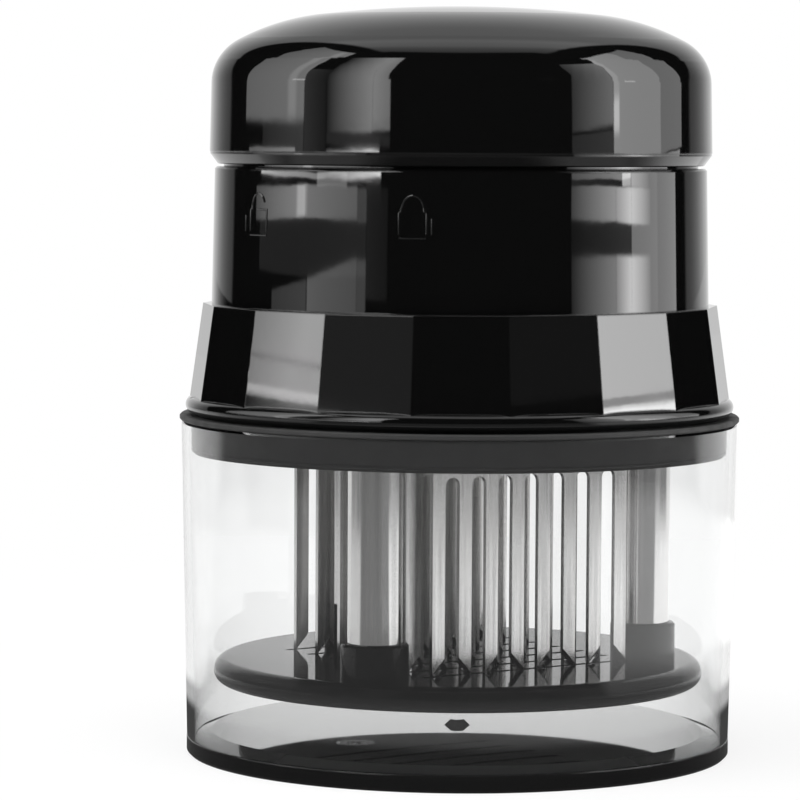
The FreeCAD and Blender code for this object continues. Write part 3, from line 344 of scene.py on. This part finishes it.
def build_spring(material):
    """The coil spring in round wire, on the head."""
    steps = SPRING_TURNS * TURN_STEPS
    rise = (SPRING_HIGH - SPRING_LOW) / (2 * math.pi * SPRING_TURNS)
    length = math.hypot(SPRING_RADIUS, rise)
    points = []
    for step in range(steps + 1):
        turn = 2 * math.pi * step / TURN_STEPS
        cosine, sine = math.cos(turn), math.sin(turn)
        out = Vector((cosine, sine, 0.0))
        along = Vector((-sine * SPRING_RADIUS, cosine * SPRING_RADIUS, rise)) / length
        over = out.cross(along)
        centre = out * SPRING_RADIUS + Vector((0.0, 0.0, SPRING_LOW + rise * turn))
        for side in range(WIRE_SIDES):
            angle = 2 * math.pi * side / WIRE_SIDES
            spoke = out * math.cos(angle) + over * math.sin(angle)
            points.append(centre + spoke * SPRING_WIRE)
    faces = []
    for step in range(steps):
        for side in range(WIRE_SIDES):
            here = step * WIRE_SIDES + side
            beside = step * WIRE_SIDES + (side + 1) % WIRE_SIDES
            faces.append((here, here + WIRE_SIDES, beside + WIRE_SIDES, beside))
    faces.append(tuple(range(WIRE_SIDES)))
    faces.append(tuple(reversed(range(steps * WIRE_SIDES, (steps + 1) * WIRE_SIDES))))
    coil = new_mesh("round_spring", points, faces)
    coil.data.polygons.foreach_set("use_smooth", [len(face) == 4 for face in faces])
    coil.data.materials.append(material)
    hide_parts("main_spring")
    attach(coil, "head")
    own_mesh(coil)


# The barrel's foot and head, as height and radius in millimetres.
BARREL_FOOT = (84.75, 46.85)
BARREL_HEAD = (110.15, 46.3)

# The padlocks' raised lines, in millimetres. A profile's point is an offset in widths and a height
# in heights.
RIDGE_WIDTH = 0.46
RIDGE_HEIGHT = 0.17
RIDGE_PROFILE = [(-0.5, -0.4), (-0.34, 0.6), (0.0, 1.0), (0.34, 0.6), (0.5, -0.4)]
MITRE_LEAST = 0.5
ARCH_STEPS = 14

# The padlocks' outlines in millimetres: along the barrel from the lock's middle, and height.
CASE_SIDE = 2.5
CASE_LOW = 99.0
CASE_HIGH = 102.8
CASE_FOOT = 98.35
BOW_SIDE = 2.05
BOW_LOW = 103.1
BOW_HIGH = 105.9
OPEN_BOW_POINTS = -2
OPEN_LID_START = -0.4
OPEN_LID = 102.95
DASH = (98.95, 101.85)
CLOSED_DASH_SIDE = 3.45
OPEN_DASH_SIDE = -4.1

# Angle round the barrel (degrees), and whether the lock is open.
LOCKS = [(224.5, False), (182.9, True)]


def arch(half, foot, head):
    """Points of a shackle's bow, from its left foot to its right."""
    points = []
    for step in range(ARCH_STEPS + 1):
        angle = math.pi * step / ARCH_STEPS
        points.append((-half * math.cos(angle), foot + (head - foot) * math.sin(angle)))
    return points


def lock_lines(opened):
    bow = arch(BOW_SIDE, BOW_LOW, BOW_HIGH)
    left = [(-CASE_SIDE, CASE_LOW), (-CASE_SIDE, CASE_HIGH)]
    right = [(CASE_SIDE, CASE_HIGH), (CASE_SIDE, CASE_LOW)]
    foot = [(-CASE_SIDE, CASE_FOOT), (CASE_SIDE, CASE_FOOT)]
    dash = [(OPEN_DASH_SIDE if opened else CLOSED_DASH_SIDE, height) for height in DASH]
    if opened:
        lid = [(OPEN_LID_START, OPEN_LID), (CASE_SIDE, OPEN_LID), (CASE_SIDE, CASE_LOW)]
        return [left + bow[:OPEN_BOW_POINTS], lid, foot, dash]
    return [left + bow + right, foot, dash]


def ridge(line, middle, points, faces):
    """One raised line, laid round the barrel about the angle middle (degrees)."""
    first = len(points)
    count = len(RIDGE_PROFILE)
    spots = [Vector(spot) for spot in line]
    for k, spot in enumerate(spots):
        before = (spot - spots[k - 1]).normalized() if k else (spots[1] - spot).normalized()
        after = (spots[k + 1] - spot).normalized() if k + 1 < len(spots) else before
        along = (before + after).normalized()
        across = Vector((along.y, -along.x)) / max(along.dot(after), MITRE_LEAST)
        for offset, height in RIDGE_PROFILE:
            place = spot + across * offset * RIDGE_WIDTH
            share = (place.y - BARREL_FOOT[0]) / (BARREL_HEAD[0] - BARREL_FOOT[0])
            wall = BARREL_FOOT[1] + (BARREL_HEAD[1] - BARREL_FOOT[1]) * share
            angle = math.radians(middle) + place.x / wall
            radius = (wall + height * RIDGE_HEIGHT) * MILLI
            points.append((radius * math.cos(angle), radius * math.sin(angle), place.y * MILLI))
    for k in range(len(spots) - 1):
        for j in range(count):
            here = first + k * count
            beside = (j + 1) % count
            faces.append((here + j, here + beside, here + count + beside, here + count + j))
    faces.append(tuple(first + j for j in reversed(range(count))))
    last = first + (len(spots) - 1) * count
    faces.append(tuple(last + j for j in range(count)))


def build_locks(material):
    """Raised padlock pictures on the barrel: closed in front, open where the knob is turned to."""
    points, faces = [], []
    for middle, opened in LOCKS:
        for line in lock_lines(opened):
            ridge(line, middle, points, faces)
    locks = new_mesh("lock_pictures", points, faces)
    locks.data.materials.append(material)
    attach(locks, "head")


# ---- stage ---------------------------------------------------------------------------------------

# A ramp is written as a first and a last value, and the number at each.

# Reflections see a wall behind the part that leads into a soft box above it. The rows are degrees
# over the top from the front horizon, and strength. The box bends back towards its two ends.
SKY = [(0, 0.0), (68, 0.0), (71, 0.6), (81, 1.0), (88, 1.5), (104, 1.5), (115, 0.9), (134, 0.63),
       (180, 1.0)]
SKY_PEAK = 2.0
SKY_DARK = 0.002
SKY_BOW = 0.3
SKY_BOW_MOST = 0.14

# The wall stands a little to the right. It narrows with height, and its light fades sideways.
WALL_SHIFT = 0.015
WALL_WIDTH = (0.0, 0.75, 0.777, 0.43)
WALL_FEATHER = 0.02
WALL_FADE = (0.35, 0.8, 2.0, 0.6)

# The sky that lights matt surfaces: dimmer in front and behind than from the sides.
SKY_SOFT = (0.3, 0.85, 0.4, 1.5)

# The table as reflections see it. It goes by metres from the part's middle (rings, starts and ends)
# and by view angle in degrees (sides, backs and fronts).
TABLE_RINGS = [(0.085, 0.1, 0.06, 0.5), (0.125, 0.145, 0.0, -0.26)]
RIGHT_SIDE = (47, 57, 0.0, 1.3)
LEFT_SIDE = (-50, -62, 0.0, 0.85)
SIDE_START = (0.13, 0.2, 0.25, 1.0)
SIDE_END = (0.42, 0.55, 1.0, 0.0)
BACK = (105, 118, 0.0, 1.0)
OUTER_START = (0.095, 0.13, 0.0, 1.0)
FLANK_FRONT = (46, 62, 0.0, 1.0)
FLANK_BACK = (95, 112, 1.0, 0.0)
FLANK_START = (0.68, 0.76, 0.0, 0.5)
FAR_START = (0.8, 1.1)
FAR_TURN = 6
FAR_BACK = (127, 157)

# How much of the table is plain white, by metres. The rest is paper, which keeps the shadow.
TABLE_SIZE = 6.0
TABLE_WHITE = (0.1, 0.4, 0.8, 1.0)
PAPER_DARK = 0.86
PAPER_PALE = 0.9
PAPER_GRAIN = 0.00002


def ray_level(n, camera_level, glossy_level, diffuse_level):
    """One number for rays that come straight from the camera or through clear walls, another for
    rays that a surface has reflected, and a third for diffuse ones."""
    mirrored, scattered = n.bounced("Glossy"), n.bounced("Diffuse")
    return n.mix(scattered, n.mix(mirrored, camera_level, glossy_level), diffuse_level)


def build_world():
    """White for the eye, and the wall and soft box for reflections."""
    world = bpy.data.worlds.new("studio")
    bpy.context.scene.world = world
    world.use_nodes = True
    n = Nodes(world.node_tree)
    way = n.add("TexCoord").outputs["Generated"]
    ahead = n.dot(way, TO_CAMERA)
    side = n.dot(way, TO_RIGHT)
    up = n.dot(way, UP)
    over = n.math("DIVIDE", n.math("ARCTAN2", n.math("MAXIMUM", up, 0.0), ahead), math.pi)
    bowed = n.math("MINIMUM", n.math("MULTIPLY", side, side), SKY_BOW_MOST)
    over = n.math("SUBTRACT", over, n.math("MULTIPLY", bowed, SKY_BOW))
    sky = n.add("ValToRGB")
    stops = sky.color_ramp.elements
    while len(stops) < len(SKY):
        stops.new(0.5)
    for stop, (angle, level) in zip(stops, SKY):
        stop.position = angle / 180.0
        stop.color = grey(level / SKY_PEAK)
    n.link(over, sky.inputs[0])
    edge = n.ramp(up, *WALL_WIDTH)
    aside = n.math("ABSOLUTE", n.math("SUBTRACT", side, WALL_SHIFT))
    inside = n.ramp(aside, n.math("SUBTRACT", edge, WALL_FEATHER),
                    n.math("ADD", edge, WALL_FEATHER), 1.0, 0.0)
    fading = n.ramp(aside, *WALL_FADE)
    mirrored = n.math("MULTIPLY", n.math("MULTIPLY", sky.outputs[0], inside), fading)
    soft = n.ramp(n.math("ABSOLUTE", side), *SKY_SOFT)
    shade = n.add("Background")
    shade.inputs["Color"].default_value = grey(1.0)
    n.link(ray_level(n, 1.0, n.math("ADD", mirrored, SKY_DARK), soft), shade.inputs["Strength"])
    output = n.add("OutputWorld")
    n.link(shade.outputs[0], output.inputs["Surface"])


def table_in_mirrors(n, place, across):
    """How bright reflections see the table: by distance from the part and by the side it is on."""
    angle = n.math("ARCTAN2", n.dot(place, TO_RIGHT), n.dot(place, TO_CAMERA))
    turned = n.math("ABSOLUTE", angle)
    near = 0.0
    for ring in TABLE_RINGS:
        near = n.math("ADD", near, n.ramp(across, *ring))
    sides = n.math("MAXIMUM", n.turn_ramp(angle, *RIGHT_SIDE), n.turn_ramp(angle, *LEFT_SIDE))
    for fade in (SIDE_END, SIDE_START):
        sides = n.math("MULTIPLY", sides, n.ramp(across, *fade))
    outer = n.math("MAXIMUM", sides, n.turn_ramp(turned, *BACK))
    outer = n.math("MULTIPLY", outer, n.ramp(across, *OUTER_START))
    flank = n.math("MULTIPLY", n.turn_ramp(turned, *FLANK_FRONT), n.turn_ramp(turned, *FLANK_BACK))
    flank = n.math("MULTIPLY", flank, n.ramp(across, *FLANK_START))
    near = n.math("MAXIMUM", n.math("MAXIMUM", near, flank), outer)
    turned = n.math("ABSOLUTE", n.math("ADD", angle, math.radians(FAR_TURN)))
    return n.mix(n.ramp(across, *FAR_START), near, n.turn_ramp(turned, *FAR_BACK))


def table_material():
    """White paper, which keeps the part's shadow."""
    made, n = new_material("white_table")
    place = n.position()
    paper = n.add("BsdfDiffuse")
    grain = n.noise(place, scale=900.0, detail=3.0)
    colour = n.mix(grain, grey(PAPER_DARK), grey(PAPER_PALE), "RGBA")
    n.link(colour, paper.inputs["Color"])
    n.link(n.bump(grain, strength=0.1, distance=PAPER_GRAIN), paper.inputs["Normal"])

    across = n.length(place)
    glow = n.add("Emission")
    glow.inputs["Color"].default_value = grey(1.0)
    seen = ray_level(n, 1.0, table_in_mirrors(n, place, across), 0.0)
    n.link(seen, glow.inputs["Strength"])
    both = n.add("MixShader")
    n.link(ray_level(n, n.ramp(across, *TABLE_WHITE), 1.0, 0.0), both.inputs[0])
    n.link(paper.outputs[0], both.inputs[1])
    n.link(glow.outputs[0], both.inputs[2])
    output = n.add("OutputMaterial")
    n.link(both.outputs[0], output.inputs["Surface"])
    return made


def build_table():
    half = TABLE_SIZE / 2
    points = [(-half, -half, 0), (half, -half, 0), (half, half, 0), (-half, half, 0)]
    table = new_mesh("table", points, [(0, 1, 2, 3)])
    table.data.materials.append(table_material())


NEAR_RING = 0.42
FAR_RING = 1.2
RING_STEP = 0.0005
CARD_STEPS = 24
CARDS_THROUGH_WALL = 0.1

# Soft light that only reflections see, in upright curved cards round the part. Each card stands
# RING_STEP outside the one before. Name, radius, first and last view angle (degrees), heights at
# the first angle (mm), their rise to the last angle (mm), strength at the first and the last angle,
# soft width of the sides (degrees) and of the ends (mm).
CARDS = [
    ("right_high", NEAR_RING, 69, 97.5, 121.5, 600, 0, 4.9, 3.2, 0.1, 0.5),
    ("right_high_outer", NEAR_RING, 97.4, 114, 121.5, 600, 0, 1.95, 1.4, 0.1, 0.5),
    ("right_edge", NEAR_RING, 68.7, 72.5, 129, 142, 0, 4.0, 4.0, 0.8, 5.0),
    ("right_edge_top", NEAR_RING, 68.8, 72.5, 130, 470, 0, 1.3, 1.3, 0.8, 3.0),
    ("right_high_inner", NEAR_RING, 48, 69, 132.5, 425, 0, 0.55, 2.9, 0.3, 1.5),
    ("right_high_foot", NEAR_RING, 48, 69, 122.5, 132.5, 0, 0.4, 0.7, 0.3, 0.5),
    ("right_rim", NEAR_RING, 49, 81, 118.4, 121.6, -2.6, 1.6, 5.4, 0.3, 0.6),
    ("right_line", NEAR_RING, 49, 76, 117, 118.6, -2.4, 0.3, 0.2, 0.3, 0.2),
    ("right_upper", NEAR_RING, 49, 72, 106.3, 117.2, -2.2, 1.0, 6.0, 0.1, 0.8),
    ("right_upper_hot", NEAR_RING, 72, 81, 104.1, 115.0, -1.3, 6.2, 11.5, 0.1, 0.8),
    ("right_upper_fall", NEAR_RING, 81, 93, 102.8, 113.7, -1.4, 8.0, 0.4, 0.1, 0.8),
    ("right_top_hot", NEAR_RING, 75.5, 81, 114.0, 121.0, -0.8, 8.5, 8.0, 0.4, 0.8),
    ("right_top_fall", NEAR_RING, 81, 92, 113.2, 120.2, -1.4, 5.0, 0.3, 0.1, 0.8),
    ("right_notch", NEAR_RING, 49, 81, 99, 106.6, -3.6, 0.1, 0.55, 0.1, 0.3),
    ("right_lower", NEAR_RING, 49, 72, 60, 99.5, -2.0, 0.3, 4.0, 0.1, 1.8),
    ("right_lower_hot", NEAR_RING, 72, 81, 60, 97.6, -1.3, 4.6, 11.5, 0.1, 1.8),
    ("right_lower_fall", NEAR_RING, 81, 93, 60, 96.3, -1.4, 8.0, 0.4, 0.1, 1.8),
    ("right_mid", NEAR_RING, 81, 98, 60, 121.5, 0, 3.2, 3.1, 0.1, 0.5),
    ("right_mid_outer", NEAR_RING, 97.9, 112.5, 60, 121.5, 0, 2.6, 2.5, 0.1, 0.5),
    ("right_facet", FAR_RING, 78, 84.5, 212, 290, 0, 5.8, 4.0, 0.2, 2.0),
    ("right_facet_inner", FAR_RING, 35, 43, 288, 340, 0, 0.09, 0.09, 0.5, 2.0),
    ("left_high", NEAR_RING, -110, -71.5, 128.5, 730, 4.5, 1.2, 3.2, 0.3, 2.0),
    ("left_high_hot", NEAR_RING, -82, -75, 131.5, 700, 0.8, 1.2, 1.2, 2.5, 4.0),
    ("left_high_dim", NEAR_RING, -71.5, -60, 122, 300, 0, 0.5, 0.15, 0.1, 2.0),
    ("left_foot", NEAR_RING, -97, -71.5, 121, 132, 2.5, 0.2, 0.8, 0.5, 1.0),
    ("left_crease", NEAR_RING, -107, -76, 119.0, 122.7, 3.2, 1.3, 3.6, 0.5, 0.5),
    ("left_inner", FAR_RING, -62, -39.5, 163.0, 280, 4.0, 0.15, 4.7, 0.1, 3.0),
    ("left_inner_edge", FAR_RING, -39.5, -31.3, 168.0, 280, 2.0, 4.7, 3.4, 0.1, 3.0),
    ("left_inner_foot", FAR_RING, -62, -31.3, 156, 165, 4, 0.35, 0.35, 0.3, 2.0),
    ("left_inner_crease", FAR_RING, -62, -36, 138, 153.5, 5.0, 1.5, 18.0, 0.3, 1.5),
    ("left_inner_top", NEAR_RING, -60, -38, 176, 600, 0, 0.15, 4.7, 0.1, 1.5),
    ("left_inner_top_edge", NEAR_RING, -38, -31.2, 176, 600, 0, 4.7, 3.4, 0.1, 1.5),
    ("left_rim", NEAR_RING, -101, -42, 114.8, 117.4, 4.4, 8.0, 2.0, 1.0, 0.6),
    ("left_upper_outer", NEAR_RING, -104, -72, 100.9, 111.2, 4.3, 0.8, 4.6, 0.3, 0.8),
    ("left_upper_hot", NEAR_RING, -78, -70.5, 104.4, 115.4, 0.9, 3.4, 3.4, 2.2, 1.5),
    ("left_upper", NEAR_RING, -72, -45.5, 105.0, 115.8, 2.0, 3.5, 2.3, 0.1, 0.8),
    ("left_upper_step", NEAR_RING, -66, -50.5, 115.4, 121.5, 1.2, 3.1, 2.5, 0.3, 0.4),
    ("left_upper_dim", NEAR_RING, -45.5, -41.2, 106.4, 117.0, 0.3, 1.1, 1.1, 0.1, 0.8),
    ("left_upper_far", NEAR_RING, -41.2, -31.5, 86, 118, 0, 0.25, 0.12, 0.1, 1.0),
    ("left_notch", NEAR_RING, -101, -41.2, 88, 103, 5.0, 0.18, 0.33, 0.3, 0.8),
    ("left_lower_outer", NEAR_RING, -92, -70.5, 60, 84.5, 6.5, 0.5, 1.0, 0.8, 1.5),
    ("left_lower", NEAR_RING, -70.5, -45.5, 60, 91.3, 7.0, 2.1, 1.5, 0.1, 1.5),
    ("left_lower_dim", NEAR_RING, -45.5, -41.2, 60, 98, 0, 1.1, 1.1, 0.1, 1.5),
    ("left_facet_toe", FAR_RING, -81.6, -80.5, 212, 231, 0, 0.0, 2.1, 0.0, 2.0),
    ("left_facet_toe_flat", FAR_RING, -80.5, -74, 212, 231, 0, 2.1, 3.0, 0.0, 2.0),
    ("left_facet_foot", FAR_RING, -81.8, -80.7, 229, 248.5, 0, 2.6, 6.0, 0.0, 2.0),
    ("left_facet_foot_flat", FAR_RING, -80.7, -74, 229, 248.5, 0, 6.0, 6.2, 0.0, 2.0),
    ("left_facet", FAR_RING, -81.6, -80.5, 246.5, 290, 0, 0.0, 3.0, 0.0, 2.0),
    ("left_facet_flat", FAR_RING, -80.5, -74, 246.5, 290, 0, 3.0, 3.2, 0.0, 2.0),
    ("left_facet_inner", FAR_RING, -43, -36, 286, 340, 0, 0.26, 0.22, 0.5, 2.0),
]


def card_material(name, strengths, side_feather, end_feather):
    """Light in reflections alone, much weaker through the cup's wall."""
    made, n = new_material(name)
    place = n.add("UVMap", uv_map="card").outputs["UV"]
    parts = n.add("SeparateXYZ")
    n.link(place, parts.inputs[0])
    level = n.ramp(parts.outputs[0], 0.0, 1.0, *strengths, smooth=False)
    for value, feather in ((parts.outputs[0], side_feather), (parts.outputs[1], end_feather)):
        if feather:
            level = n.math("MULTIPLY", n.ramp(value, 0.0, feather), level)
            level = n.math("MULTIPLY", n.ramp(value, 1.0 - feather, 1.0, 1.0, 0.0), level)
    shown = n.math("SUBTRACT", n.bounced("Glossy"), n.bounced("Diffuse"), clamp=True)
    through = n.mix(n.bounced("Transmission"), 1.0, CARDS_THROUGH_WALL)
    shown = n.math("MULTIPLY", shown, through)
    light = n.add("Emission")
    light.inputs["Color"].default_value = grey(1.0)
    n.link(n.math("MULTIPLY", level, shown), light.inputs["Strength"])
    nothing = n.add("BsdfTransparent")
    both = n.add("AddShader")
    n.link(nothing.outputs[0], both.inputs[0])
    n.link(light.outputs[0], both.inputs[1])
    output = n.add("OutputMaterial")
    n.link(both.outputs[0], output.inputs["Surface"])
    return made


def build_card(name, radius, first, last, low, high, rise, start, end, soft_side, soft_end):
    points = []
    for step in range(CARD_STEPS + 1):
        share = step / CARD_STEPS
        angle = math.radians(first + (last - first) * share)
        spot = (TO_CAMERA * math.cos(angle) + TO_RIGHT * math.sin(angle)) * radius
        for height in (low, high):
            points.append((spot.x, spot.y, (height + rise * share) * MILLI))
    faces = [(2 * k, 2 * k + 2, 2 * k + 3, 2 * k + 1) for k in range(CARD_STEPS)]
    card = new_mesh(name, points, faces)
    layer = card.data.uv_layers.new(name="card")
    for loop in card.data.loops:
        layer.data[loop.index].uv = (loop.vertex_index // 2 / CARD_STEPS, loop.vertex_index % 2)
    softness = (soft_side / (last - first), soft_end / (high - low))
    card.data.materials.append(card_material(name, (start, end), *softness))
    card.visible_camera = False
    card.visible_diffuse = False
    card.visible_shadow = False


# Name, metres towards the camera, to its right and up, width and power. The lamps look at LAMP_AIM.
LAMPS = [("above", 0.25, -0.2, 1.2, 0.9, 9.0), ("front", 1.1, 0.5, 0.5, 0.7, 4.0)]
LAMP_AIM = Vector((0.0, 0.0, 0.07))


def build_lamp(name, ahead, aside, high, width, power):
    light = bpy.data.lights.new(name, "AREA")
    light.shape = "DISK"
    light.size = width
    light.energy = power
    lamp = bpy.data.objects.new(name, light)
    place = TO_CAMERA * ahead + TO_RIGHT * aside + UP * high
    lamp.location = place
    lamp.rotation_mode = "QUATERNION"
    lamp.rotation_quaternion = (LAMP_AIM - place).to_track_quat("-Z", "Y")
    lamp.visible_glossy = False
    lamp.visible_transmission = False
    bpy.context.scene.collection.objects.link(lamp)


def build_camera():
    data = bpy.data.cameras.new("camera")
    data.lens = CAMERA_LENS
    data.sensor_width = CAMERA_SENSOR
    data.clip_start, data.clip_end = CAMERA_CLIP
    camera = bpy.data.objects.new("camera", data)
    bpy.context.scene.collection.objects.link(camera)
    upright = Matrix.Rotation(math.radians(90), 4, "X")
    facing = Matrix.Rotation(CAMERA_AZIMUTH + CAMERA_YAW, 4, "Z")
    pitch = Matrix.Rotation(CAMERA_PITCH, 4, "X")
    roll = Matrix.Rotation(CAMERA_ROLL, 4, "Z")
    place = TO_CAMERA * CAMERA_DISTANCE + UP * CAMERA_HEIGHT
    camera.matrix_world = Matrix.Translation(place) @ facing @ pitch @ upright @ roll
    bpy.context.scene.camera = camera


materials = all_materials()
dress(materials)
build_spring(materials["spring_steel"])
build_locks(materials["lock_black"])
build_world()
build_table()
for index, (name, radius, *rest) in enumerate(CARDS):
    build_card(name, radius + RING_STEP * index, *rest)
for row in LAMPS:
    build_lamp(*row)
build_camera()
bpy.context.scene.view_settings.view_transform = "Standard"
